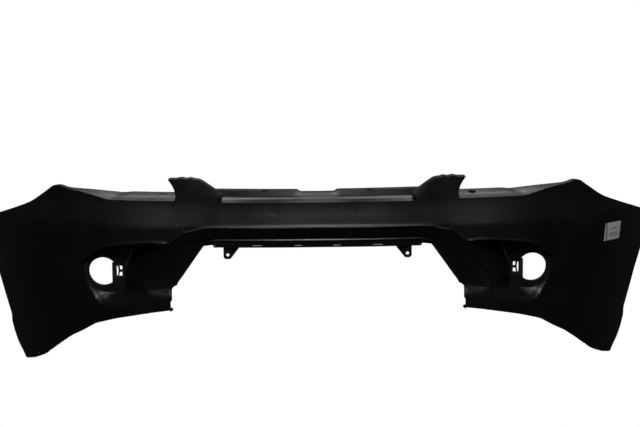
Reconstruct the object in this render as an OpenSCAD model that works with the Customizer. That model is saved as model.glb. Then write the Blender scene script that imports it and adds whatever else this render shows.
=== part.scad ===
// Front bumper cover of a small car: one thin moulding with its brackets, nuts and retainers.
// X is across the car, -Y is the front, +Z is up. The origin lies midway between the two
// fixing holes in the top flange, on the flange's upper face.

/* [Cover] */
// Half of the width that the plan curve would reach
plan_half_w = 905; // [860:5:950]
// Depth of the plan curve, front to back
plan_depth = 800; // [740:10:860]
// Roundness of the plan curve, 2 for an ellipse
plan_power = 2.2; // [2:0.1:2.6]
// Distance of the front face ahead of the fixing holes
face_ahead = 62; // [56:1:68]
// Wall thickness of the moulding
wall = 3; // [2.5:0.1:3.5]
// Width of the flanges along the free edges
edge_flange = 14; // [10:1:18]

/* [Centre bar] */
// Distance between the two fixing holes in the top flange
flange_hole_gap = 240; // [200:10:280]
// Diameter of the fixing holes in the top flange
flange_hole_d = 9; // [6:0.5:10]
// Distance between the number plate pilot holes
plate_hole_gap = 178; // [160:1:200]
// Height of the flange below the bar
lower_flange_h = 19; // [12:1:24]
// Distance between the fixing holes in the two hanging tabs
tab_hole_gap = 414; // [400:2:430]

/* [Fog lamp openings] */
// Distance of each fog lamp opening from the middle
fog_x = 511; // [500:1:520]
// Height of the fog lamp openings
fog_z = -200; // [-206:1:-196]
// Diameter of the fog lamp openings
fog_d = 68; // [60:1:72]
// How far behind the fixing holes the recess floor lies
floor_y = 92; // [86:1:96]

/* [Fixings] */
// Distance between the fixing holes in the wing tips
tip_hole_gap = 1424; // [1420:2:1430]

/* [Hidden] */
SIDES = ["left", "right"];
FOG_SCREWS = ["upper", "lower", "outer"];
RAIL_CLIPS = ["front", "middle", "rear"];
$fn = 48;

// Heights and half-widths that shape the cover, each as [position, value] along one line.
top_line = [[0, -24], [250, -24], [331, -22], [492, -24], [556, -9], [606, -2], [634, 6.5], [652, -7], [700, -40],
    [714, -47], [886, -119]];
crease_line = [[0, -80], [0.9, -81], [1, -83], [2, -95], [2.5, -150], [3, -200]];
edge_line = [[0, -109], [0.9, -110], [1, -119], [2, -122], [2.09, -120], [2.26, -131], [2.32, -144],
    [2.36, -172], [2.5, -190], [3, -236]];
ledge_line = [[1, -225], [2, -236], [2.25, -252], [2.31, -240], [2.36, -212], [2.5, -236], [3, -330]];
nose_line = [[1, -251], [2, -262], [2.25, -280], [2.36, -292], [2.5, -320], [3, -400]];
bottom_line = [[1, -278], [1.5, -283], [2, -288], [2.2, -307], [2.35, -326], [2.55, -371], [2.7, -411], [2.8, -435],
    [2.9, -451], [3, -461]];
// Half-width of the lower opening, the ridge beside it and the wheel arch edge, by height.
opening_half = [[-290, 346], [-223, 346], [-119, 271], [-109, 262]];
ridge_half = [[-300, 400], [-235, 405], [-206, 406], [-122, 343], [-95, 309], [-70, 300]];
arch_half = [[-470, 797], [-450, 803], [-425, 819], [-400, 826], [-372, 829], [-354, 823], [-250, 842], [-119, 886]];
// Top flange, shelf and edge return: [half-width, inset] and [half-width, height above the top line].
back_rows = [
    [[[0, 84], [250, 84], [300, 76], [331, 70], [500, 66], [560, 40], [610, 16], [900, 14]],
     [[0, 24], [250, 24], [331, 14], [470, 14], [556, 3], [610, 0], [900, 0]]],
    [[[0, 44], [250, 44], [331, 52], [500, 48], [560, 30], [610, 12], [900, 11]],
     [[0, 24], [250, 24], [331, 11], [470, 11], [556, 2], [610, 0], [900, 0]]],
    [[[0, 41], [250, 41], [331, 38], [500, 34], [560, 20], [610, 9], [900, 8]],
     [[0, 12], [250, 12], [331, 8], [470, 8], [556, 1], [610, 0], [900, 0]]],
    [[[0, 17], [250, 17], [331, 26], [500, 22], [560, 12], [610, 6], [900, 5]],
     [[0, 8], [250, 8], [331, 5], [470, 4], [556, 1], [610, 0], [900, 0]]]
];
latch_dip_half = 46;
latch_dip = 5;
band_depth = 22;
top_inset = 11;
ledge_h = 26;

// Column positions: 0 is the middle, 1 the opening's edge, 2 the ridge and 3 the wheel arch edge.
half_columns = [0, 0.09, 0.17, 0.19, 0.34, 0.5, 0.66, 0.82, 0.92, 1, 1.25, 1.5, 1.75, 2, 2.06, 2.12, 2.17,
    2.22, 2.26, 2.3, 2.335, 2.37, 2.42, 2.48, 2.54, 2.6, 2.66, 2.72, 2.78, 2.84, 2.9, 2.95, 3];
// Rows between the feature lines: the whole part names the line above, the rest is the way down.
down_rows = [0, 0.34, 0.67, 1, 1.5, 2, 2.08, 2.16, 2.3, 2.44, 2.58, 2.72, 2.86, 3, 3.5, 4, 4.5, 5];
back_count = len(back_rows);
row_count = back_count + len(down_rows) + 1;
open_row = back_count + 5;

function lerp(a, b, t) = a + (b - a) * t;
function clamp01(t) = min(1, max(0, t));
function ease(t) = let (c = clamp01(t)) c * c * (3 - 2 * c);

// Plan curve: the distance behind the front face at half-width x, and its inward normal.
function plan_y(x) = plan_depth * (1 - pow(1 - pow(x / plan_half_w, plan_power), 1 / plan_power));
function plan_normal(x) =
    let (nx = -pow(x / plan_half_w, plan_power - 1) / plan_half_w,
         ny = pow(1 - plan_y(x) / plan_depth, plan_power - 1) / plan_depth)
    [nx, ny] / norm([nx, ny]);
function on_plan(x, inset, z) =
    let (n = plan_normal(x)) [x + n[0] * inset, plan_y(x) - face_ahead + n[1] * inset, z];

// Half-width of column u at height z.
function across(u, z) =
    let (a = lookup(z, opening_half), b = lookup(z, ridge_half), c = lookup(z, arch_half))
    u < 1 ? a * u : u < 2 ? lerp(a, b, u - 1) : lerp(b, c, u - 2);
function top_z(u) = lookup(across(u, -70), top_line);
function line_z(u, k) = k == 0 ? top_z(u)
    : lookup(u, [crease_line, edge_line, ledge_line, nose_line, bottom_line][k - 1]);
function row_z(u, v) =
    let (k = min(4, floor(v))) lerp(line_z(u, k), line_z(u, k + 1), v - k);

// Inset of the face, which is greatest along its top edge and gone at the crease, and its tuck below.
function lean(x, z) =
    let (d = max(0, -z - 80), side = 0.35 + 0.65 * ease((x - 250) / 400), fall = clamp01((-24 - z) / 56))
    top_inset * (1 - pow(fall, 1.6)) + 0.18 * side * (norm([d, 60]) - 60);
// Depth of the raked band around the opening, and of the fog lamp recess.
function band_in(u, z) =
    let (c = line_z(u, 1), e = line_z(u, 2)) band_depth * clamp01((c - z) / (c - e)) * clamp01(2 - u);
function recess_in(x, z, y) =
    let (end_z = -188, reach = 562 - 0.0045 * pow(z - end_z, 2),
         down = lookup(across_to_u(x, z), edge_line) - z, out = reach - x,
         ridge = x - lookup(z, ridge_half))
    max(0, min(floor_y - y, 3.2 * down, 3.2 * out, 0.95 * ridge));
function across_to_u(x, z) =
    let (b = lookup(z, ridge_half), c = lookup(z, arch_half)) 2 + (x - b) / (c - b);

function skin_point(u, v) =
    let (z = row_z(u, v), x = across(u, z), p = on_plan(x, lean(x, z), z),
         sink = u < 2 ? band_in(u, z) : recess_in(x, z, p[1]),
         ledge = clamp01((z - line_z(u, 4)) / ledge_h))
    p + [0, sink * (u < 1 ? 1 : ledge), 0];
function back_point(u, k) =
    let (x = across(u, -70), z = top_z(u), dip = x < latch_dip_half && k < 2 ? latch_dip : 0)
    on_plan(x, lean(x, z) + lookup(x, back_rows[k][0]) - (x < 300 ? 11 * (1 - x / 300) : 0),
        z + lookup(x, back_rows[k][1]) - dip);
function bottom_point(u) =
    let (p = skin_point(u, 5), n = plan_normal(min(p[0], 880)))
    p + edge_flange * [n[0], n[1], 0.12];
function column_point(u, j) =
    j < back_count ? back_point(u, j)
    : j < row_count - 1 ? skin_point(u, down_rows[j - back_count])
    : bottom_point(u);
// The last column turns in along the wheel arch edge.
function arch_point(j) =
    let (p = column_point(3, j)) p + edge_flange * [-0.97, 0.15, 0];

function half_grid() = [
    for (u = half_columns) [for (j = [0:row_count - 1]) column_point(u, j)],
    [for (j = [0:row_count - 1]) arch_point(j)]
];
function flip(p) = [-p[0], p[1], p[2]];
function both(half) = concat(
    [for (i = [len(half) - 1:-1:1]) [for (p = half[i]) flip(p)]], half);

function unit(v) = v / max(1e-9, norm(v));
function grid_normal(g, i, j) =
    let (a = g[max(0, i - 1)][j], b = g[min(len(g) - 1, i + 1)][j],
         c = g[i][max(0, j - 1)], d = g[i][min(len(g[0]) - 1, j + 1)])
    unit(cross(b - a, d - c));

// A closed sheet of even thickness behind a grid of points. Cells from column hole[0] to hole[1]
// and from row hole[2] down are left out.
module sheet(g, thick, hole = [-1, -1, -1]) {
    ni = len(g);
    nj = len(g[0]);
    count = ni * nj;
    front = [for (c = g, p = c) p];
    back = [for (i = [0:ni - 1], j = [0:nj - 1]) g[i][j] + thick * grid_normal(g, i, j)];
    function at(i, j) = i * nj + j;
    function kept(i, j) = i >= 0 && j >= 0 && i < ni - 1 && j < nj - 1
        && !(i >= hole[0] && i < hole[1] && j >= hole[2]);
    cells = [for (i = [0:ni - 2], j = [0:nj - 2]) if (kept(i, j)) [i, j]];
    faces = [for (c = cells) let (i = c[0], j = c[1],
            a = at(i, j), b = at(i + 1, j), d = at(i + 1, j + 1), e = at(i, j + 1)) each [
        [a, b, d], [a, d, e],
        [a + count, d + count, b + count], [a + count, e + count, d + count],
        if (!kept(i, j - 1)) each [[a, a + count, b + count], [a, b + count, b]],
        if (!kept(i, j + 1)) each [[d, d + count, e + count], [d, e + count, e]],
        if (!kept(i - 1, j)) each [[e, e + count, a + count], [e, a + count, a]],
        if (!kept(i + 1, j)) each [[b, b + count, d + count], [b, d + count, d]]
    ]];
    polyhedron(concat(front, back), faces, convexity = 10);
}

module skin_sheet() {
    grid = both(half_grid());
    middle = len(half_columns);
    edge = search(1, half_columns)[0];
    sheet(grid, wall, [middle - edge, middle + edge, open_row]);
}

// Flange around the lower opening: it hangs down under the bar and turns rearward up the sides.
function opening_ring() =
    let (mid = [for (u = half_columns) if (u <= 0.92) [u, 2, 0]],
         side = [for (v = [2:0.25:3]) [1, v, v < 2.2 ? 0.5 : 1]], low = [[1, 3.5, 1], [1, 4.2, 1]])
    concat(mid, side, low);
function ring_row(k) = [for (r = opening_ring()) let (
        p = skin_point(r[0], r[1]), f = lower_flange_h,
        step = lerp(-1, 1.5, r[2]), hang = [-0.25 * f * r[2], lerp(-5, 16, r[2]), -f * (1 - r[2]) - 0.5],
        tail = [-0.3 * f * r[2], lerp(11, 20, r[2]), -f * (1 - r[2]) - 1])
    p + (k == 0 ? [0, step, 1.5 * (1 - r[2])] : k == 1 ? [0, lerp(-5, 4, r[2]), -1] : k == 2 ? hang : tail)];
module opening_flange() {
    rows = [for (k = [0:3]) ring_row(k)];
    sheet(both([for (i = [0:len(rows[0]) - 1]) [for (r = rows) r[i]]]), wall);
}

// Horn at each end of the bar: a leaning face with a hooked tip and a flange along its top.
horn_base = [[227, -33, -23], [252, -27, -23], [278, -22, -23], [306, -15, -23], [331, -8, -22]];
horn_waist = [[223, -31, -14], [250, -24, -2], [278, -19, 2], [301, -13, 0], [321, -6, -4]];
horn_top = [[217, -28, -9], [243, -21, 9], [270, -16, 27], [304, -10, 30], [346, -2, 27]];
module horn() {
    sheet([for (i = [0:4]) [horn_top[i] + [0, 32, 1], horn_top[i], horn_waist[i], horn_base[i]]], wall);
}

// Round pieces that stand on +Z, or point to the rear under to_rear().
module to_rear() { rotate([-90, 0, 0]) children(); }
module both_sides() {
    children();
    mirror([1, 0, 0]) children();
}
module on_side(side) { mirror([side == "left" ? 1 : 0, 0, 0]) children(); }

dimple_z = -50;
dimple_d = 6;
dimple_y = plan_y(plate_hole_gap / 2) - face_ahead + lean(0, dimple_z);
flange_pad_h = 5;
tab_x = tab_hole_gap / 2;
tab_z = -147;
tab_hole_d = 7;
tab_y = skin_point(tab_x / 262, 2)[1] + 6;
tip_at = [tip_hole_gap / 2, 352, -446];
tip_hole_d = 7;
tip_reach = 41;
access_at = [703, 300, -434];
lamp_hole_at = [362, 48, -10];
lamp_hole_d = 10;
retainer_at = [286, 41, -2];
retainer_d = 8.4;
retainer_pin_d = 4;
boss_y = floor_y + 9;
boss_d = 11;
screw_d = 4;
fog_screws = [[471, -158], [471, -242], [537, -161]];
bracket_t = 3;
seat_depth = 15;
seat_d = fog_d + 3;
seat_outer_d = seat_d + 5;
window_x = [452, 490];
rail_x = [722, 757, 792, 827, 857];
rail_clip_x = [736, 790, 842];
rail_clip_inset = 11;
rail_t = 2.5;
rail_drop = 6;
clip_d = 5;

// A point of the outer top edge, moved in by inset and down by drop.
function edge_point(x, inset, drop) =
    let (z = lookup(x, top_line)) on_plan(x, lean(x, z) + inset, z - drop);

module hanging_tab() {
    translate([0, tab_y, 0]) to_rear() linear_extrude(wall)
        polygon([[tab_x - 30, 126], [tab_x + 10, 126], [tab_x + 10, 152], [tab_x + 6, 157],
            [tab_x - 5, 157], [tab_x - 9, 153]]);
}
module tip_pad() {
    translate(tip_at) to_rear() linear_extrude(4) union() {
        circle(d = 26);
        translate([0, -9]) square([tip_reach, 18]);
    }
}
module solid_additions() {
    translate([flange_hole_gap / 2, 0, -flange_pad_h]) cylinder(d = 20, h = flange_pad_h);
    hanging_tab();
    tip_pad();
    translate(lamp_hole_at - [0, 0, 8]) cylinder(d = 18, h = 8);
    translate(retainer_at - [0, 0, flange_pad_h]) cylinder(d = 22, h = flange_pad_h);
    for (p = fog_screws) translate([p[0], floor_y + wall / 2, p[1]]) to_rear()
        cylinder(d = boss_d, h = boss_y - floor_y - wall / 2);
}
module through(at, d, h) { translate(at - [0, 0, h / 2]) cylinder(d = d, h = h); }
module through_rear(at, d, h) { translate(at - [0, h / 2, 0]) to_rear() cylinder(d = d, h = h); }

flange_slots = [[45, 16], [138, 24], [248, 25]];
module holes() {
    through([flange_hole_gap / 2, 0, 0], flange_hole_d, 20);
    translate([plate_hole_gap / 2, dimple_y - 15, dimple_z]) to_rear() cylinder(d = dimple_d, h = 16.5);
    through_rear([tab_x, tab_y, tab_z], tab_hole_d, 20);
    through_rear(tip_at, tip_hole_d, 30);
    through_rear(access_at, tip_hole_d, 60);
    through(retainer_at, retainer_d, 16);
    through_rear([fog_x, floor_y, fog_z], fog_d, 20);
    translate([window_x[0], floor_y - 26, fog_z - 20]) cube([fog_x - window_x[0], 40, 40]);
    for (p = fog_screws) translate([p[0], floor_y + wall, p[1]]) to_rear() cylinder(d = screw_d, h = 20);
    for (s = flange_slots) translate([s[0] - s[1] / 2, -60, -124]) cube([s[1], 60, 5]);
    for (x = rail_clip_x) through(edge_point(x, rail_clip_inset, 0), clip_d + 0.4, 30);
}
module cover_skin() color([0.09, 0.1, 0.1]) {
    difference() {
        // One moulding: its sheets, tabs and bosses are made one body before the holes are bored.
        resize([0, 0, 0]) {
            skin_sheet();
            opening_flange();
            both_sides() horn();
            both_sides() solid_additions();
        }
        both_sides() holes();
        through(lamp_hole_at, lamp_hole_d, 30);
        translate([-lamp_hole_at[0] - 9, lamp_hole_at[1] - 5, -40]) cube([18, 10, 60]);
    }
}

// Bracket behind the fog lamp recess: a plate on three bosses, with the round seat of the lamp.
module fog_bracket(side) color([0.13, 0.13, 0.13]) on_side(side) {
    difference() {
        union() {
            translate([0, boss_y, 0]) to_rear() linear_extrude(bracket_t) difference() {
                union() {
                    translate([fog_x, -fog_z]) circle(d = fog_d + 24);
                    translate([446, -fog_z - 50]) square([fog_x - 446, 100]);
                }
                intersection() {
                    translate([fog_x, -fog_z]) circle(d = fog_d);
                    translate([window_x[1], -fog_z - 50]) square([100, 100]);
                }
                translate([466, -fog_z - 12]) square([13, 24]);
                translate([window_x[1] - 6, -fog_z - 30]) square([12, 10]);
            }
            translate([fog_x, boss_y + bracket_t, fog_z]) to_rear() cylinder(d = seat_outer_d, h = seat_depth);
        }
        translate([fog_x, boss_y + bracket_t, fog_z]) to_rear() cylinder(d = seat_d, h = 30);
        for (p = fog_screws) through_rear([p[0], boss_y, p[1]], screw_d + 0.8, 20);
    }
    translate([466, boss_y, fog_z - 3]) cube([7, bracket_t, 6]);
}
module fog_screw(side, k) color([0.6, 0.6, 0.62]) on_side(side)
    translate([fog_screws[k][0], boss_y + bracket_t, fog_screws[k][1]]) to_rear() difference() {
        union() {
            cylinder(d = 10, h = 2.5);
            translate([0, 0, -9]) cylinder(d = screw_d, h = 9);
        }
        translate([-0.6, -2, 1]) cube([1.2, 4, 3]);
        translate([-2, -0.6, 1]) cube([4, 1.2, 3]);
    }

// Rail that stiffens the edge beside the front wing, held by three clips from below.
module side_rail(side) color([0.12, 0.12, 0.13]) on_side(side) difference() {
    sheet([for (x = rail_x) [edge_point(x, 30, rail_drop + 22), edge_point(x, 22, rail_drop),
        edge_point(x, 6, rail_drop)]], rail_t);
    for (x = rail_clip_x) through(edge_point(x, rail_clip_inset, 0), clip_d + 0.6, 40);
}
module rail_clip(side, k) color([0.75, 0.75, 0.72]) on_side(side)
    translate(edge_point(rail_clip_x[k], rail_clip_inset, 1)) {
        translate([0, 0, -16]) cylinder(d = 8, h = 2);
        translate([0, 0, -14]) cylinder(d = clip_d, h = 14);
    }

// Push-in retainer behind each horn: a split body with a pin that is pulled up to let go.
module retainer_body(side) color([0.08, 0.08, 0.08]) on_side(side) translate(retainer_at) difference() {
    union() {
        cylinder(d = 17, h = 1.8);
        translate([0, 0, -11]) cylinder(d = retainer_d - 0.2, h = 11);
    }
    translate([0, 0, -12]) cylinder(d = retainer_pin_d + 0.1, h = 16);
    for (a = [0, 90]) rotate(a) translate([-5, -0.5, -12]) cube([10, 1, 7]);
}
module retainer_pin(side) color([0.1, 0.1, 0.1]) on_side(side) translate(retainer_at + [0, 0, 2.1]) {
    cylinder(d = 10, h = 1.6);
    translate([0, 0, -11]) cylinder(d = retainer_pin_d, h = 11);
}

// Paper label on the right wing, wrapped to the surface.
label_x = [706, 718, 730, 742, 754];
label_z = [-112, -134, -156];
module label() color([0.93, 0.93, 0.92])
    sheet([for (x = label_x) [for (z = label_z) on_plan(x, lean(x, z) - 0.6, z)]], 0.5);

cover_skin();
label();
for (s = SIDES) {
    fog_bracket(s);
    for (k = [0:2]) fog_screw(s, k);
    side_rail(s);
    for (k = [0:2]) rail_clip(s, k);
    retainer_body(s);
    retainer_pin(s);
}
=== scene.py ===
"""Front bumper cover: a thin black moulding, shown on a pale floor under soft studio light."""
import math

import bmesh
import bpy
import numpy as np
from bpy.props import FloatProperty, PointerProperty, StringProperty
from mathutils import Matrix, Vector


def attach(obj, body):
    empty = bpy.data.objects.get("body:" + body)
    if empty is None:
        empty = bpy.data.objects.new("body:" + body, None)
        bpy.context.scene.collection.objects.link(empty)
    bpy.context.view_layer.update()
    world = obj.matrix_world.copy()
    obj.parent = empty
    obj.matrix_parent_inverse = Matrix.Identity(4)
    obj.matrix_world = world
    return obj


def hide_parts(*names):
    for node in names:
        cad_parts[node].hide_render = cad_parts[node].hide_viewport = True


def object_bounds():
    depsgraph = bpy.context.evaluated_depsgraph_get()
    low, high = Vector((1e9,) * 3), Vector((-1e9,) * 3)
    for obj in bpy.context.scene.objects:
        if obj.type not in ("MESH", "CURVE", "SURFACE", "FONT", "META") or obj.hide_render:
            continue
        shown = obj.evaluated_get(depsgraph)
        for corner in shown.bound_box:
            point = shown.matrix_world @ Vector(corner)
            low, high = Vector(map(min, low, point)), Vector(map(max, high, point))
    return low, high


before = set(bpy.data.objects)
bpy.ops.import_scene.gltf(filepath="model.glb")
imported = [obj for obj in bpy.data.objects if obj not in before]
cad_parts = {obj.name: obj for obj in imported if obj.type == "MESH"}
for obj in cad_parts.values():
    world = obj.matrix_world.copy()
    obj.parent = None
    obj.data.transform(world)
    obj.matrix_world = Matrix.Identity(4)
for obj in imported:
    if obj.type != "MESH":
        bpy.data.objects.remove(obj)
CAD_BOX = [list(corner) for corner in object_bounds()]

bl_info = {
    "name": "Bumper cover",
    "version": (1, 0, 0),
    "blender": (4, 5, 0),
    "location": "View3D > Sidebar > Bumper",
    "description": "Builds a moulded front bumper cover with its label and hardware",
    "category": "Object",
}

MM = 0.001

# Feature lines of the cover, each as (position, value) in millimetres. Columns run from the middle, 0,
# over the opening's edge, 1, and the ridge beside it, 2, to the wheel arch edge, 3.
TOP = ((0, -24), (250, -24), (331, -22), (492, -24), (556, -9), (606, -2), (634, 6.5), (652, -7), (700, -40),
       (714, -47), (886, -119))
CREASE = ((0, -80), (0.9, -81), (1, -83), (2, -95), (2.5, -150), (3, -200))
EDGE = ((0, -109), (0.9, -110), (1, -119), (2, -122), (2.09, -120), (2.26, -131), (2.32, -144),
        (2.36, -172), (2.5, -190), (3, -236))
LEDGE = ((1, -225), (2, -236), (2.25, -252), (2.31, -240), (2.36, -212), (2.5, -236), (3, -330))
NOSE = ((1, -251), (2, -262), (2.25, -280), (2.36, -292), (2.5, -320), (3, -400))
BOTTOM = ((1, -278), (1.5, -283), (2, -288), (2.2, -307), (2.35, -326), (2.55, -371), (2.7, -411),
          (2.8, -435), (2.9, -451), (3, -461))
OPENING = ((-290, 346), (-223, 346), (-119, 271), (-109, 262))
RIDGE = ((-300, 400), (-235, 405), (-206, 406), (-122, 343), (-95, 309), (-70, 300))
ARCH = ((-470, 797), (-450, 803), (-425, 819), (-400, 826), (-372, 829), (-364, 826), (-354, 823),
        (-250, 842), (-119, 886))
# Top flange, shelf and edge return, from the rear row forward: inset and height above the top line.
BACK_INSET = (((0, 84), (250, 84), (300, 76), (331, 70), (500, 66), (560, 40), (610, 16), (900, 14)),
              ((0, 44), (250, 44), (331, 52), (500, 48), (560, 30), (610, 12), (900, 11)),
              ((0, 41), (250, 41), (331, 38), (500, 34), (560, 20), (610, 9), (900, 8)),
              ((0, 17), (250, 17), (331, 26), (500, 22), (560, 12), (610, 6), (900, 5)))
BACK_RISE = (((0, 24), (250, 24), (331, 14), (470, 14), (556, 3), (610, 0), (900, 0)),
             ((0, 24), (250, 24), (331, 11), (470, 11), (556, 2), (610, 0), (900, 0)),
             ((0, 12), (250, 12), (331, 8), (470, 8), (556, 1), (610, 0), (900, 0)),
             ((0, 8), (250, 8), (331, 5), (470, 4), (556, 1), (610, 0), (900, 0)))


def smooth_line(points, x, soft=0.0):
    """Straight lines through the points, with each corner rounded: the mean of the polyline over a
    window of half-width soft."""
    px, py = np.array(points, float).T
    x = np.asarray(x, float)
    return np.mean([np.interp(x + soft * t, px, py) for t in np.linspace(-1, 1, 9)], 0)


def ease(t):
    """Smooth step from 0 to 1."""
    t = np.clip(t, 0, 1)
    return t * t * (3 - 2 * t)


def soft_min(a, b, width):
    """Smaller of a and b, rounded over width where they cross."""
    h = np.clip(0.5 + 0.5 * (b - a) / width, 0, 1)
    return b + (a - b) * h - width * h * (1 - h)


class Cover:
    """Formulas of the cover's outer surface, in millimetres."""

    def __init__(self, sizes):
        self.half_w, self.depth, self.power = 905.0, 800.0, 2.2
        self.ahead = 62.0
        self.top_inset = sizes.top_inset / MM
        self.band = 22.0
        self.floor_y = 92.0

    def plan_y(self, x):
        """Superellipse: how far behind the front the plan curve lies at half-width x."""
        ratio = np.clip(x / self.half_w, 0, 0.9999)
        return self.depth * (1 - (1 - ratio ** self.power) ** (1 / self.power))

    def on_plan(self, x, inset, z):
        """Point of the plan curve at half-width x, moved in along its normal, at height z."""
        ratio = np.clip(x / self.half_w, 0, 0.9999)
        nx = -ratio ** (self.power - 1) / self.half_w
        ny = (1 - self.plan_y(x) / self.depth) ** (self.power - 1) / self.depth
        length = np.hypot(nx, ny)
        return np.stack([x + nx / length * inset, self.plan_y(x) - self.ahead + ny / length * inset,
                         z + 0 * x], -1)

    def across(self, u, z):
        """Half-width of column u at height z: between the three edge lines."""
        a, b, c = smooth_line(OPENING, z, 9), smooth_line(RIDGE, z, 9), smooth_line(ARCH, z, 4)
        outer = np.where(u < 2, a + (b - a) * (u - 1), b + (c - b) * (u - 2))
        return np.where(u < 1, a * u, outer)

    def row(self, u, k):
        """Height of feature line k on column u."""
        if k == 0:
            return smooth_line(TOP, self.across(u, -70.0 + 0 * u), 9)
        return smooth_line((CREASE, EDGE, LEDGE, NOSE, BOTTOM)[k - 1], u, 0.06 if k in (3, 4) else 0.03)

    def height(self, u, v):
        """Height at row v, whose whole part names the feature line above it."""
        rows = np.stack([self.row(u, k) for k in range(6)])
        k = np.clip(np.floor(v).astype(int), 0, 4)
        t = v - k
        t = np.where(k == 3, 1 - np.sqrt(np.clip(1 - t * t, 0, 1)), t)
        above = np.take_along_axis(rows, k[None], 0)[0]
        below = np.take_along_axis(rows, k[None] + 1, 0)[0]
        return above + (below - above) * t

    def lean(self, x, z):
        """Inset of the face, which is greatest along its top edge and gone at the crease, and its tuck
        below."""
        down = np.maximum(0, -z - 80)
        side = 0.35 + 0.65 * ease((x - 250) / 400)
        tuck = 0.18 * side * (np.hypot(down, 60) - 60)
        fall = np.clip((-24 - z) / 56, 0, 1)
        return self.top_inset * (1 - fall ** 1.6) + tuck

    def recess(self, x, z, y):
        """How far the fog lamp recess lies back, the nearest of its floor, top, end and inner ramp, and
        the height of the raised brow along its top and outer end."""
        b, c = smooth_line(RIDGE, z, 9), smooth_line(ARCH, z, 4)
        down = smooth_line(EDGE, 2 + (x - b) / (c - b), 0.03) - z
        out = 562 - 0.0045 * (z + 188) ** 2 - x
        wall = soft_min(3.4 * down, 3.4 * out, 14)
        sink = soft_min(soft_min(self.floor_y - y, wall, 5), 0.95 * (x - b), 6)
        brow = np.exp(-((soft_min(down, out, 5) + 1.5) / 2.3) ** 2)
        brow = brow * ease((x - b) / 20) * ease((z + 235) / 40)
        return np.maximum(0, sink), brow

    def skin(self, u, v):
        """Point of the outer surface at column u, row v: lean and tuck, then the band and the recess,
        which both end on the rounded ledge of the lower lip."""
        z = self.height(u, v)
        x = self.across(u, z)
        p = self.on_plan(x, self.lean(x, z), z)
        crease, edge, ledge, nose = (self.row(u, k) for k in (1, 2, 3, 4))
        t = np.clip((crease - z) / (crease - edge), 0, 1)
        band = self.band * t ** 0.9 * np.clip(2 - u, 0, 1)
        hollow, brow = self.recess(x, z, p[..., 1])
        sink = np.where(u < 2, band, hollow)
        q = np.clip((z - nose) / (ledge - nose), 0, 1)
        lip = 1 - np.sqrt(np.clip(1 - q * q, 0, 1))
        fade = 1 - ease((u - 2.02) / 0.22)
        lip = lip * fade + ease(q) * (1 - fade)
        ridge = np.exp(-((x - smooth_line(RIDGE, z, 9)) / 2.3) ** 2)
        ridge = ridge * ease((z + 232) / 60) * ease((-86 - z) / 12)
        rim = np.exp(-((z - crease) / 2.4) ** 2) - np.exp(-((z - crease) / 16) ** 2)
        rim = rim * ease((2.0 - u) / 0.1)
        bead = 4.6 * ridge * (u > 1) + 4.4 * brow * (u > 2) + 1.8 * rim
        p[..., 1] += sink * np.where(u < 1, 1, lip) - bead
        return p

    def back(self, u, k):
        """Point of the top flange, shelf or edge return; k runs from 0 at the rear to 4 at the top line."""
        x, z = self.across(u, -70.0 + 0 * u), self.row(u, 0)
        insets = np.stack([smooth_line(line_k, x, 8) for line_k in BACK_INSET] + [0 * x])
        rises = np.stack([smooth_line(line_k, x, 8) for line_k in BACK_RISE] + [0 * x])
        i = np.clip(np.floor(k).astype(int), 0, 3)
        t = k - i
        pick = lambda rows, j: np.take_along_axis(rows, j[None], 0)[0]
        inset = pick(insets, i) * (1 - t) + pick(insets, i + 1) * t
        rise = pick(rises, i) * (1 - t) + pick(rises, i + 1) * t
        inset = inset - 11 * np.clip(1 - x / 300, 0, 1) * np.clip(4 - k, 0, 1)
        dip = 5 * (1 - ease((x - 40) / 10)) * np.clip(2 - k, 0, 1)
        return self.on_plan(x, self.lean(x, z) + inset, z + rise - dip)


def spaced(stops, counts, crowd=0.6):
    """Values from stop to stop, closer together near each stop."""
    parts = [np.array([stops[0]], float)]
    for a, b, n in zip(stops, stops[1:], counts):
        t = np.arange(1, n + 1) / n
        parts.append(a + (b - a) * (t - crowd * np.sin(2 * np.pi * t) / (2 * np.pi)))
    return np.concatenate(parts)


def normals_of(grid):
    """Unit normal at every grid point: the cross product of the two central differences."""
    du, dv = np.gradient(grid, axis=0), np.gradient(grid, axis=1)
    n = np.cross(du, dv)
    return n / np.maximum(1e-9, np.linalg.norm(n, axis=-1, keepdims=True))


def new_piece(name, points, faces, material, body, sharp=35):
    """A mesh object from points in millimetres and a face list."""
    mesh = bpy.data.meshes.new(name)
    used, index = np.unique(np.concatenate([np.ravel(f) for f in faces]), return_inverse=True)
    verts = np.asarray(points)[used] * MM
    sizes = np.array([len(f) for block in faces for f in block])
    mesh.vertices.add(len(verts))
    mesh.vertices.foreach_set("co", verts.astype(np.float32).ravel())
    mesh.loops.add(len(index))
    mesh.loops.foreach_set("vertex_index", index.astype(np.int32))
    mesh.polygons.add(len(sizes))
    mesh.polygons.foreach_set("loop_start", np.concatenate([[0], np.cumsum(sizes)[:-1]]).astype(np.int32))
    mesh.update(calc_edges=True)
    mesh.validate()
    mesh.shade_smooth()
    mesh.set_sharp_from_angle(angle=math.radians(sharp))
    piece = bpy.data.objects.new(name, mesh)
    bpy.context.scene.collection.objects.link(piece)
    mesh.materials.append(material)
    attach(piece, body)
    return piece


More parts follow.
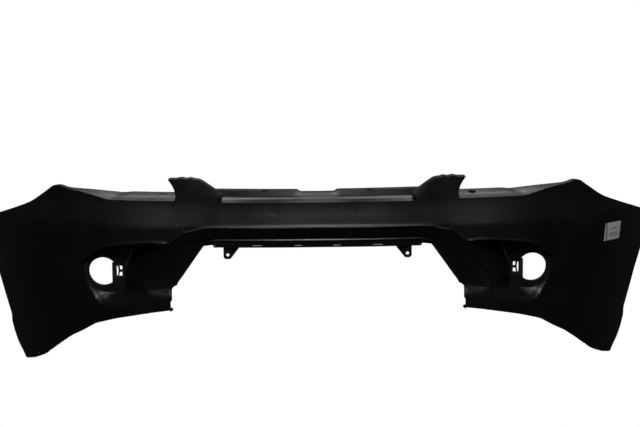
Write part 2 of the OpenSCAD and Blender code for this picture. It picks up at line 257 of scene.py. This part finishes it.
def shell_faces(keep, count):
    """Quads of a closed sheet: the front, the back and a wall along every rim of the kept cells."""
    ni, nj = keep.shape
    ids = np.arange((ni + 1) * (nj + 1)).reshape(ni + 1, nj + 1)
    a, b, d, e = ids[:-1, :-1], ids[1:, :-1], ids[1:, 1:], ids[:-1, 1:]
    front = np.stack([a, e, d, b], -1)[keep]
    back = np.stack([a, b, d, e], -1)[keep] + count
    padded = np.pad(keep, 1)
    faces = [front, back]
    sides = ((a, b, padded[1:-1, :-2]), (d, e, padded[1:-1, 2:]), (e, a, padded[:-2, 1:-1]),
             (b, d, padded[2:, 1:-1]))
    for p, q, neighbour in sides:
        rim = keep & ~neighbour
        faces.append(np.stack([p, q, q + count, p + count], -1)[rim])
    return faces


def shell(name, grid, thick, material, body, keep=None, sharp=35):
    """A closed sheet of even thickness behind a grid of points: the back is the front moved along
    its normals."""
    keep = np.ones((grid.shape[0] - 1, grid.shape[1] - 1), bool) if keep is None else keep
    rear = grid + thick * normals_of(grid)
    points = np.concatenate([grid.reshape(-1, 3), rear.reshape(-1, 3)])
    faces = shell_faces(keep, grid.shape[0] * grid.shape[1])
    return new_piece(name, points, faces, material, body, sharp)


def mirrored(half):
    """The whole grid from its right half: the half flipped about the middle column, then itself."""
    return np.concatenate([half[:0:-1] * (-1, 1, 1), half])


def punch(grid, keep, axes, distance):
    """Cuts a hole: cells whose middle lies inside go, and the rim's points move onto the outline, where
    distance gives how far outside a point is and which way is out."""
    flat = grid[..., axes]
    middle = (flat[:-1, :-1] + flat[1:, :-1] + flat[1:, 1:] + flat[:-1, 1:]) / 4
    gone = (distance(middle)[0] < 0) & keep
    keep &= ~gone
    touched = np.zeros(grid.shape[:2], bool)
    kept_near = np.zeros(grid.shape[:2], bool)
    for di in (0, 1):
        for dj in (0, 1):
            touched[di:di + gone.shape[0], dj:dj + gone.shape[1]] |= gone
            kept_near[di:di + keep.shape[0], dj:dj + keep.shape[1]] |= keep
    rim = touched & kept_near
    far, out = distance(flat[rim])
    moved = flat[rim] - far[:, None] * out
    for n, axis in enumerate(axes):
        layer = grid[..., axis]
        layer[rim] = moved[:, n]


def round_hole(cx, cy, r):
    """Distance to a circle."""
    def distance(p):
        away = p - (cx, cy)
        length = np.linalg.norm(away, axis=-1)
        return length - r, away / np.maximum(length, 1e-6)[..., None]
    return distance


def square_hole(cx, cy, half_w, half_h):
    """Distance to a rectangle, measured along the axis whose side is nearest."""
    def distance(p):
        away = p - (cx, cy)
        gap = np.abs(away) - (half_w, half_h)
        wide = gap[..., 0] > gap[..., 1]
        out = np.where(wide[..., None], (1.0, 0.0), (0.0, 1.0)) * np.sign(away)
        return np.maximum(gap[..., 0], gap[..., 1]), out
    return distance


def joined(first, second):
    """Distance to two outlines taken as one."""
    def distance(p):
        (d1, o1), (d2, o2) = first(p), second(p)
        near = d1 < d2
        return np.where(near, d1, d2), np.where(near[..., None], o1, o2)
    return distance


def hex_colour(code):
    """Linear RGBA of an sRGB hex code."""
    srgb = np.array([int(code[i:i + 2], 16) for i in (1, 3, 5)]) / 255
    linear = np.where(srgb <= 0.04045, srgb / 12.92, ((srgb + 0.055) / 1.055) ** 2.4)
    return (*linear.tolist(), 1.0)


def add_node(tree, kind, settings=(), links=()):
    """Adds a node, sets its properties and inputs, and links other sockets into its inputs."""
    node = tree.nodes.new(kind)
    for key, value in dict(settings).items():
        if isinstance(key, str) and hasattr(node, key):
            setattr(node, key, value)
        else:
            node.inputs[key].default_value = value
    for key, source in dict(links).items():
        tree.links.new(source, node.inputs[key])
    return node


def blank_material(name):
    """A material whose tree holds only its output and shader."""
    material = bpy.data.materials.new(name)
    material.use_nodes = True
    tree = material.node_tree
    return material, tree, tree.nodes["Principled BSDF"]


def grained_plastic(name, colour, roughness, grain_mm, depth, mottle=0.08):
    """Moulded plastic with a fine etched grain: a low noise bump, a slow drift in gloss and faint
    handling marks."""
    material, tree, shader = blank_material(name)
    place = add_node(tree, "ShaderNodeTexCoord").outputs["Object"]
    grain = add_node(tree, "ShaderNodeTexNoise", {"Scale": 1 / (grain_mm * MM), "Detail": 2.0},
                     {"Vector": place})
    drift = add_node(tree, "ShaderNodeTexNoise", {"Scale": 9.0, "Detail": 4.0, "Roughness": 0.6},
                     {"Vector": place})
    gloss = add_node(tree, "ShaderNodeMapRange", {"From Min": 0.3, "From Max": 0.7,
                     "To Min": roughness - mottle, "To Max": roughness + mottle},
                     {"Value": drift.outputs["Fac"]})
    bump = add_node(tree, "ShaderNodeBump", {"Strength": 0.35, "Distance": depth * MM},
                    {"Height": grain.outputs["Fac"]})
    shade = add_node(tree, "ShaderNodeMapRange", {"From Min": 0.35, "From Max": 0.65, "To Min": 0.8,
                     "To Max": 1.2}, {"Value": drift.outputs["Fac"]})
    tint = add_node(tree, "ShaderNodeMix", {"data_type": "RGBA", "blend_type": "MULTIPLY", "Factor": 1.0})
    tint.inputs[6].default_value = hex_colour(colour)
    tree.links.new(shade.outputs["Result"], tint.inputs[7])
    tree.links.new(tint.outputs[2], shader.inputs["Base Color"])
    tree.links.new(gloss.outputs["Result"], shader.inputs["Roughness"])
    tree.links.new(bump.outputs["Normal"], shader.inputs["Normal"])
    shader.inputs["IOR"].default_value = 1.49
    return material


def plated_steel(name, colour):
    """Zinc-plated steel, barrelled: a soft crystalline mottle under a low gloss."""
    material, tree, shader = blank_material(name)
    place = add_node(tree, "ShaderNodeTexCoord").outputs["Object"]
    cells = add_node(tree, "ShaderNodeTexVoronoi", {"Scale": 900.0}, {"Vector": place})
    gloss = add_node(tree, "ShaderNodeMapRange", {"To Min": 0.25, "To Max": 0.5},
                     {"Value": cells.outputs["Distance"]})
    tree.links.new(gloss.outputs["Result"], shader.inputs["Roughness"])
    shader.inputs["Base Color"].default_value = hex_colour(colour)
    shader.inputs["Metallic"].default_value = 1.0
    return material


def printed_paper(name, paper, strip, ink):
    """Coated label paper: white stock with one tinted edge strip and plain grey bars, read from the
    label's own map."""
    material, tree, shader = blank_material(name)
    uv = add_node(tree, "ShaderNodeUVMap", {"uv_map": "label"}).outputs["UV"]
    axes = add_node(tree, "ShaderNodeSeparateXYZ", {}, {"Vector": uv})
    bars = add_node(tree, "ShaderNodeTexNoise", {"noise_dimensions": "1D", "Scale": 34.0, "Detail": 0.0},
                    {"W": axes.outputs["X"]})

    def between(axis, low, high):
        place = {0: axes.outputs[axis]}
        above = add_node(tree, "ShaderNodeMath", {"operation": "GREATER_THAN", 1: low}, place)
        below = add_node(tree, "ShaderNodeMath", {"operation": "LESS_THAN", 1: high}, place)
        return add_node(tree, "ShaderNodeMath", {"operation": "MULTIPLY"},
                        {0: above.outputs[0], 1: below.outputs[0]}).outputs[0]

    def times(a, b):
        return add_node(tree, "ShaderNodeMath", {"operation": "MULTIPLY"}, {0: a, 1: b}).outputs[0]

    dark = add_node(tree, "ShaderNodeMath", {"operation": "GREATER_THAN", 1: 0.52}, {0: bars.outputs["Fac"]})
    block = times(times(between("X", 0.22, 0.86), between("Y", 0.18, 0.42)), dark.outputs[0])
    rule = times(between("X", 0.22, 0.7), between("Y", 0.62, 0.68))
    marks = add_node(tree, "ShaderNodeMath", {"operation": "MAXIMUM"}, {0: block, 1: rule}).outputs[0]
    with_ink = add_node(tree, "ShaderNodeMix", {"data_type": "RGBA"}, {0: marks})
    with_ink.inputs[6].default_value = hex_colour(paper)
    with_ink.inputs[7].default_value = hex_colour(ink)
    edge = add_node(tree, "ShaderNodeMix", {"data_type": "RGBA"}, {0: between("X", 0.0, 0.12)})
    tree.links.new(with_ink.outputs[2], edge.inputs[6])
    edge.inputs[7].default_value = hex_colour(strip)
    tree.links.new(edge.outputs[2], shader.inputs["Base Color"])
    shader.inputs["Roughness"].default_value = 0.45
    return material


class CoverSizes(bpy.types.PropertyGroup):
    """Sizes a user would change."""
    wall: FloatProperty(name="Wall", description="Wall thickness", default=0.003, unit="LENGTH")
    top_inset: FloatProperty(name="Top inset", description="How far back the face's top edge lies",
                             default=0.011, unit="LENGTH")
    rim_drop: FloatProperty(name="Rim drop", description="Height of the flange under the bar", default=0.019,
                            unit="LENGTH")


class CoverColours(bpy.types.PropertyGroup):
    """Colours a user would change, as sRGB hex codes."""
    plastic: StringProperty(name="Plastic", description="Moulded cover", default="#0d100f")
    bracket: StringProperty(name="Brackets", description="Brackets and rails", default="#1b1c1d")
    paper: StringProperty(name="Label", description="Label paper", default="#f4f5f3")


def sizes():
    return bpy.context.scene.cover_sizes


def colours():
    return bpy.context.scene.cover_colours


def cover_plastic():
    return bpy.data.materials.get("moulded_polypropylene") or grained_plastic(
        "moulded_polypropylene", colours().plastic, 0.36, 0.9, 0.05)


# Rows and columns of the skin, clustered near its feature lines.
COLUMNS = spaced((0, 1, 2, 2.42, 3), (40, 34, 80, 52), 0.75)
BACK_ROWS = spaced((0, 1, 2, 3, 4), (5, 3, 5, 4), 0.3)[:-1]
DOWN_ROWS = spaced((0, 1, 2, 3, 4, 5), (18, 18, 58, 14, 12), 0.75)
RETURN_STEPS = 4
EDGE_FLANGE = 14.0
FOG = (511.0, -200.0)
FOG_R = 34.0
FLANGE_SLOTS = ((45, 16), (138, 24), (248, 25))
FOG_WINDOW = (482, 24, 17)
SCREWS = ((471, -158), (471, -242), (537, -161))
FLANGE_HOLE, FLANGE_HOLE_R = (120, 0), 4.5
LOCATOR, LOCATOR_R = (362, 48), 5
PILOT = (89, -50)
TAB_HOLE, TIP, SCREW_HOLE_R = (207, -147), (712, -446), 3.5
TIP_ACCESS = (703, -434)
RETAINER = (286, 41)
LABEL_X, LABEL_Z = (706, 754), (-112, -156)


def skin_grid(cover):
    """The whole outer surface: rear rows of the flange, the face, a return along the bottom, and a
    return along the wheel arch, mirrored about the middle."""
    uu, vv = np.meshgrid(COLUMNS, DOWN_ROWS, indexing="ij")
    bu, bk = np.meshgrid(COLUMNS, BACK_ROWS, indexing="ij")
    outer = cover.skin(uu, vv)
    low = outer[:, -1:]
    x = np.minimum(low[..., 0], 880)
    inward = cover.on_plan(x, 1.0, low[..., 2]) - cover.on_plan(x, 0.0, low[..., 2])
    turn = np.linspace(0, EDGE_FLANGE, RETURN_STEPS + 1)[1:, None]
    half = np.concatenate([cover.back(bu, bk), outer, low + (inward + (0, 0, 0.12)) * turn], 1)
    arch = half[-1:] + turn[:, None] * np.array((-0.97, 0.15, 0))
    return mirrored(np.concatenate([half, arch]))


def row_at(v):
    """Index of the grid row that lies on row value v."""
    return len(BACK_ROWS) + int(np.argmin(np.abs(DOWN_ROWS - v)))


def column_at(u, side=1):
    """Index of the grid column that lies on column value u."""
    middle = len(COLUMNS) + RETURN_STEPS - 1
    return middle + side * int(np.argmin(np.abs(COLUMNS - u)))


def cut(grid, keep, rows, axes, outline):
    """Punches one outline through the cells of a band of rows."""
    zone = np.zeros_like(keep)
    zone[:, rows[0]:rows[1]] = True
    inside = keep & zone
    punch(grid, inside, list(axes), outline)
    keep &= inside | ~zone


class BUMPER_OT_skin(bpy.types.Operator):
    """Builds the moulded skin, with its flanges, recesses and holes"""
    bl_idname = "bumper.skin"
    bl_label = "Skin"

    def execute(self, context):
        cover = Cover(sizes())
        grid = skin_grid(cover)
        keep = np.ones((grid.shape[0] - 1, grid.shape[1] - 1), bool)
        keep[column_at(1, -1):column_at(1), row_at(2):] = False
        for side in (-1, 1):
            window = square_hole(side * FOG_WINDOW[0], FOG[1], *FOG_WINDOW[1:])
            opening = joined(round_hole(side * FOG[0], FOG[1], FOG_R), window)
            cut(grid, keep, (row_at(2), row_at(3) + 8), (0, 2), opening)
            access = round_hole(side * TIP_ACCESS[0], TIP_ACCESS[1], SCREW_HOLE_R)
            cut(grid, keep, (row_at(4), row_at(5)), (0, 2), access)
            cut(grid, keep, (row_at(0), row_at(1)), (0, 2), round_hole(side * PILOT[0], PILOT[1], 3))
        flange = (0, len(BACK_ROWS))
        for side in (-1, 1):
            cut(grid, keep, flange, (0, 1), round_hole(side * FLANGE_HOLE[0], FLANGE_HOLE[1], FLANGE_HOLE_R))
        cut(grid, keep, flange, (0, 1), round_hole(*LOCATOR, LOCATOR_R))
        cut(grid, keep, flange, (0, 1), square_hole(-LOCATOR[0], LOCATOR[1], 9, LOCATOR_R))
        skin = shell("cover_skin_moulding", grid, sizes().wall / MM, cover_plastic(), "cover",
                     keep)
        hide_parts("cover_skin")
        return {"FINISHED"}


class BUMPER_OT_opening_flange(bpy.types.Operator):
    """Builds the flange that hangs under the bar and turns rearward up the opening's sides"""
    bl_idname = "bumper.opening_flange"
    bl_label = "Opening flange"

    def execute(self, context):
        cover = Cover(sizes())
        drop = sizes().rim_drop / MM
        u = np.concatenate([np.linspace(0, 0.93, 90), np.ones(28)])
        v = np.concatenate([np.full(90, 2.0), np.linspace(2, 3, 20), np.linspace(3.1, 4.2, 8)])
        turn = np.clip((np.arange(118) - 86) / 8, 0, 1)[:, None, None]
        edge = cover.skin(u, v)[:, None]
        hung = np.array(((0, 0, 1.5), (0, -2.5, 1.6), (0, -4.6, 0.2), (0, -5.6, -2.2), (0, -4.9, -4.6),
                         (0, -3.2, -6), (0, -2.8, -8), (0, -2.8, -14), (0, -2.6, -15),
                         (0, -2.4, -drop)), float)
        turned = np.array(((1.5, 1, 0), (2.4, -2, 0), (1.6, -4.6, 0), (-0.4, -6, 0), (-2.8, -5.6, 0),
                           (-4.4, -3, 0), (-6, 2, 0), (-8.5, 8, 0), (-11, 13, 0), (-14, 19, 0)), float)
        leaning = np.ones((118, 10, 3))
        leaning[..., 0] = 1 - 0.8 * ease((v - 2.75) / 1.0)[:, None]
        grid = mirrored(edge + hung * (1 - turn) + turned * leaning * turn)
        keep = np.ones((grid.shape[0] - 1, grid.shape[1] - 1), bool)
        middle = (grid[:-1, 1, 0] + grid[1:, 1, 0]) / 2
        for centre, wide in FLANGE_SLOTS:
            slot = np.abs(np.abs(middle) - centre) < wide / 2
            keep[slot, 7] = False
        shell("opening_flange", grid, sizes().wall / MM, cover_plastic(), "cover", keep,
              30)
        return {"FINISHED"}


def bent_row(points, n):
    """n points along a smooth curve through the given ones, spaced evenly in their own count."""
    points = np.array(points, float)
    t = np.linspace(0, len(points) - 1, n)
    return np.stack([smooth_line(np.stack([np.arange(len(points)), points[:, k]], 1), t, 0.3)
                     for k in range(3)], -1)


class BUMPER_OT_horns(bpy.types.Operator):
    """Builds the two hooked horns that rise from the ends of the top flange"""
    bl_idname = "bumper.horns"
    bl_label = "Horns"

    def execute(self, context):
        base = bent_row(((227, -33, -23), (252, -27, -23), (278, -22, -23), (306, -15, -23),
                         (331, -8, -22)), 49)
        waist = bent_row(((223, -33, -14), (250, -27, -2), (278, -22, 2), (301, -16, 0), (321, -9, -4)), 49)
        top = bent_row(((217, -32, -9), (243, -26, 9), (270, -21, 27), (304, -15, 30), (346, -7, 27)), 49)
        along = np.linspace(0, 1, 49)
        ragged = 1.3 * np.sin(along * 41) * np.exp(-((along - 0.72) / 0.16) ** 2)
        top = top + np.stack([0 * along, 0 * along, ragged], -1)
        rise = np.linspace(0, 1, 9)[None, :, None]
        face = (base[:, None] * (1 - rise) ** 2 + 2 * waist[:, None] * rise * (1 - rise)
                + top[:, None] * rise ** 2)
        depth = np.linspace(1, 0, 5)[:-1][None, :, None]
        flange = top[:, None] + depth * np.array((0, 37, 1))
        grid = np.concatenate([flange, face[:, ::-1]], 1)
        for side, name in ((-1, "left"), (1, "right")):
            half = grid * (side, 1, 1)
            half = half[::-1] if side < 0 else half
            shell("horn_" + name, half, sizes().wall / MM, cover_plastic(), "cover",
                  sharp=25)
        return {"FINISHED"}


def extruded(name, outline, holes, y0, y1, material, bevel=0.8):
    """A flat plate that faces front: an outline in X and Z with round holes, between two depths, with
    softened edges."""
    outline = np.array(outline, float)
    loops = [outline] + [np.array([(cx + r * math.cos(a), cz - r * math.sin(a)) for a in
                                   np.linspace(0, 2 * math.pi, 41)[:-1]]) for cx, cz, r in holes]
    mesh = bpy.data.meshes.new(name)
    work = bmesh.new()
    edges = []
    for loop in loops:
        ring = [work.verts.new((x * MM, y0 * MM, z * MM)) for x, z in loop]
        edges += [work.edges.new((ring[i], ring[(i + 1) % len(ring)])) for i in range(len(ring))]
    bmesh.ops.triangle_fill(work, edges=edges, use_beauty=True)
    filled = bmesh.ops.extrude_face_region(work, geom=work.faces[:])
    moved = [v for v in filled["geom"] if isinstance(v, bmesh.types.BMVert)]
    bmesh.ops.translate(work, vec=(0, (y1 - y0) * MM, 0), verts=moved)
    bmesh.ops.recalc_face_normals(work, faces=work.faces[:])
    work.to_mesh(mesh)
    work.free()
    piece = bpy.data.objects.new(name, mesh)
    bpy.context.scene.collection.objects.link(piece)
    mesh.materials.append(material)
    soften = piece.modifiers.new("soften", "BEVEL")
    soften.width, soften.segments, soften.limit_method = bevel * MM, 2, "ANGLE"
    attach(piece, "cover")
    return piece


def collar(name, place, outer, inner, height, rearward=False):
    """A round boss with a bore, swept as a closed profile about its axis; it stands on +Z or points to
    the rear."""
    soft = 0.5
    profile = np.array(((inner, 0), (inner, height), (outer - soft, height), (outer, height - soft),
                        (outer, 0), (inner, 0)), float)
    count, rows = 48, len(profile) - 1
    turn = np.linspace(0, 2 * math.pi, count + 1)[:, None]
    r, h = profile[:, 0], profile[:, 1]
    points = np.stack([r * np.cos(turn), r * np.sin(turn), h + 0 * turn], -1)
    if rearward:
        points = points[..., (0, 2, 1)] * (1, 1, -1)
    i, j = np.meshgrid(np.arange(count), np.arange(rows), indexing="ij")
    spot = lambda a, b: (a % count) * rows + b % rows
    faces = np.stack([spot(i, j), spot(i, j + 1), spot(i + 1, j + 1), spot(i + 1, j)], -1).reshape(-1, 4)
    corners = points[:-1, :-1].reshape(-1, 3) + place
    return new_piece(name, corners, [faces], cover_plastic(), "cover", 30)


class BUMPER_OT_tabs(bpy.types.Operator):
    """Builds the hanging tabs, the tip pads, the plate pilots, and the pads and bosses behind the skin"""
    bl_idname = "bumper.tabs"
    bl_label = "Tabs and bosses"

    def execute(self, context):
        cover, plastic = Cover(sizes()), cover_plastic()
        for side, name in ((-1, "left"), (1, "right")):
            tab = [(side * x, z) for x, z in ((177, -126), (217, -126), (217, -152), (213, -157), (202, -157),
                                              (198, -153))]
            hole = [(side * TAB_HOLE[0], TAB_HOLE[1], SCREW_HOLE_R)]
            extruded("hanging_tab_" + name, tab, hole, -19.1, -16.1, plastic)
            arc = np.linspace(math.pi / 2, 3 * math.pi / 2, 25)
            pad = [(side * (TIP[0] + 9 * math.cos(a)), TIP[1] + 9 * math.sin(a)) for a in arc]
            pad += [(side * 751, -455), (side * 751, -437)]
            hole = [(side * TIP[0], TIP[1], SCREW_HOLE_R)]
            extruded("tip_pad_" + name, pad, hole, 352, 356, plastic)
            depth = cover.plan_y(float(PILOT[0])) - cover.ahead + cover.lean(0, float(PILOT[1])) + 1.5
            collar("pilot_cup_" + name, (side * PILOT[0], depth, PILOT[1]), 3.4, 0.05, 1.4, rearward=True)
            collar("flange_pad_" + name, (side * FLANGE_HOLE[0], FLANGE_HOLE[1], -5), 10, FLANGE_HOLE_R, 5)
            collar("retainer_pad_" + name, (side * RETAINER[0], RETAINER[1], -7), 11, 4.2, 5)
            for n, (x, z) in enumerate(SCREWS):
                collar(f"screw_boss_{name}_{n}", (side * x, 93.5, z), 5.5, 2, 7.5, rearward=True)
        collar("locator_boss", (*LOCATOR, -18), 9, LOCATOR_R, 8)
        return {"FINISHED"}


class BUMPER_OT_label(bpy.types.Operator):
    """Builds the paper label, wrapped to the right wing"""
    bl_idname = "bumper.label"
    bl_label = "Label"

    def execute(self, context):
        cover = Cover(sizes())
        x, z = np.meshgrid(np.linspace(*LABEL_X, 25), np.linspace(*LABEL_Z, 17), indexing="ij")
        grid = cover.on_plan(x, cover.lean(x, z) - 0.6, z)
        paper = printed_paper("coated_paper", colours().paper, "#8fb3b0", "#8d9294")
        piece = shell("label_sheet", grid, 0.4, paper, "cover")
        points = np.zeros(len(piece.data.vertices) * 3, np.float32)
        piece.data.vertices.foreach_get("co", points)
        points = points.reshape(-1, 3) / MM
        corner = np.zeros(len(piece.data.loops), np.int32)
        piece.data.loops.foreach_get("vertex_index", corner)
        uv = np.stack([(points[corner, 0] - LABEL_X[0]) / (LABEL_X[1] - LABEL_X[0]),
                       (points[corner, 2] - LABEL_Z[1]) / (LABEL_Z[0] - LABEL_Z[1])], -1)
        piece.data.uv_layers.new(name="label").uv.foreach_set("vector", uv.astype(np.float32).ravel())
        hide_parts("label")
        return {"FINISHED"}


class BUMPER_OT_fittings(bpy.types.Operator):
    """Gives the brackets, rails, clips, screws and retainers their finishes"""
    bl_idname = "bumper.fittings"
    bl_label = "Fittings"

    def execute(self, context):
        nylon = grained_plastic("glass_filled_nylon", colours().bracket, 0.55, 1.4, 0.08)
        clips = grained_plastic("natural_nylon", "#c9c7bb", 0.4, 1.2, 0.03)
        retainers = grained_plastic("black_nylon", "#141414", 0.32, 1.0, 0.02)
        zinc = plated_steel("zinc_plated_steel", "#b9bcc0")
        finishes = (("fog_bracket", nylon), ("side_rail", nylon), ("fog_screw", zinc), ("rail_clip", clips),
                    ("retainer", retainers))
        for node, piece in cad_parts.items():
            for prefix, material in finishes:
                if node.startswith(prefix):
                    piece.data.materials.clear()
                    piece.data.materials.append(material)
        return {"FINISHED"}


def lamp(name, place, aim, size, power):
    """A rectangular soft light that faces a point and isn't seen itself."""
    data = bpy.data.lights.new(name, "AREA")
    data.shape, data.size, data.size_y, data.energy = "RECTANGLE", size[0], size[1], power
    light = bpy.data.objects.new(name, data)
    bpy.context.scene.collection.objects.link(light)
    light.location = place
    light.rotation_mode = "QUATERNION"
    light.rotation_quaternion = (Vector(aim) - Vector(place)).to_track_quat("-Z", "Y")
    light.visible_camera = False


class BUMPER_OT_stage(bpy.types.Operator):
    """Sets out the pale floor, the soft lights and the camera"""
    bl_idname = "bumper.stage"
    bl_label = "Stage"

    def execute(self, context):
        seen, tree, shader = blank_material("pale_floor")
        path = add_node(tree, "ShaderNodeLightPath").outputs["Is Camera Ray"]
        glow = add_node(tree, "ShaderNodeMix", {"data_type": "FLOAT", "A": 0.02, "B": 1.0}, {"Factor": path})
        light = add_node(tree, "ShaderNodeEmission", {"Color": (1, 1, 1, 1)}, {"Strength": glow.outputs[0]})
        tree.links.new(light.outputs[0], tree.nodes["Material Output"].inputs["Surface"])
        tree.nodes.remove(shader)
        floor_z = CAD_BOX[0][2] - 0.001
        bpy.ops.mesh.primitive_plane_add(size=60, location=(0, 0, floor_z))
        floor = bpy.context.object
        floor.name = "floor"
        floor.data.materials.append(seen)
        world = bpy.data.worlds.new("room")
        bpy.context.scene.world = world
        world.use_nodes = True
        tree = world.node_tree
        path = add_node(tree, "ShaderNodeLightPath").outputs["Is Camera Ray"]
        level = add_node(tree, "ShaderNodeMix", {"data_type": "FLOAT", "A": 0.03, "B": 1.0}, {"Factor": path})
        back = tree.nodes["Background"]
        back.inputs["Color"].default_value = (1, 1, 1, 1)
        tree.links.new(level.outputs[0], back.inputs["Strength"])
        lamp("overhead", (0, -0.7, 1.9), (0, -0.1, -0.1), (2.6, 0.7), 17)
        lamp("front", (0, -3.4, 2.4), (0, 0.0, -0.1), (1.4, 1.0), 60)
        lamp("behind", (0, 2.4, 2.8), (0, 0.2, -0.2), (3.0, 1.2), 60)
        for side in (-1, 1):
            lamp(f"strip_{side}", (2.6 * side, -2.4, 0.9), (0.3 * side, 0, -0.2), (0.25, 1.6), 3.5)
        bpy.context.scene.view_settings.view_transform = "Standard"
        camera()
        return {"FINISHED"}


class BUMPER_PT_panel(bpy.types.Panel):
    """Lists the sizes, colours and pieces"""
    bl_idname = "BUMPER_PT_panel"
    bl_label = "Bumper"
    bl_space_type = "VIEW_3D"
    bl_region_type = "UI"
    bl_category = "Bumper"

    def draw(self, context):
        for group in (context.scene.cover_sizes, context.scene.cover_colours):
            for name in group.__annotations__:
                self.layout.prop(group, name)
        for kind in OPERATORS:
            self.layout.operator(kind.bl_idname)


OPERATORS = (BUMPER_OT_skin, BUMPER_OT_opening_flange, BUMPER_OT_horns, BUMPER_OT_tabs, BUMPER_OT_label,
             BUMPER_OT_fittings, BUMPER_OT_stage)


def camera():
    """Camera at the height and distance of a standing viewer, slightly rolled."""
    data = bpy.data.cameras.new("camera")
    data.lens = 87.4
    data.sensor_width = 36
    data.clip_end = 100
    eye = bpy.data.objects.new("camera", data)
    bpy.context.scene.collection.objects.link(eye)
    yaw, pitch, roll = math.radians(0.23), math.radians(-6.97), math.radians(0.59)
    ahead = Vector((math.sin(yaw), math.cos(yaw) * math.cos(pitch), math.sin(pitch))).normalized()
    right = ahead.cross(Vector((0, 0, 1))).normalized()
    up = right.cross(ahead)
    right, up = right * math.cos(roll) - up * math.sin(roll), up * math.cos(roll) + right * math.sin(roll)
    turn = Matrix((right, up, -ahead)).transposed().to_4x4()
    eye.matrix_world = Matrix.Translation((-0.008, -3.562, 0.38)) @ turn
    bpy.context.scene.camera = eye


def register():
    for kind in (CoverSizes, CoverColours) + OPERATORS + (BUMPER_PT_panel,):
        bpy.utils.register_class(kind)
    bpy.types.Scene.cover_sizes = PointerProperty(type=CoverSizes)
    bpy.types.Scene.cover_colours = PointerProperty(type=CoverColours)


def unregister():
    del bpy.types.Scene.cover_colours
    del bpy.types.Scene.cover_sizes
    for kind in reversed((CoverSizes, CoverColours) + OPERATORS + (BUMPER_PT_panel,)):
        bpy.utils.unregister_class(kind)


def main():
    register()
    bpy.ops.bumper.skin()
    bpy.ops.bumper.opening_flange()
    bpy.ops.bumper.horns()
    bpy.ops.bumper.tabs()
    bpy.ops.bumper.label()
    bpy.ops.bumper.fittings()
    bpy.ops.bumper.stage()


if __name__ == "__main__":
    main()
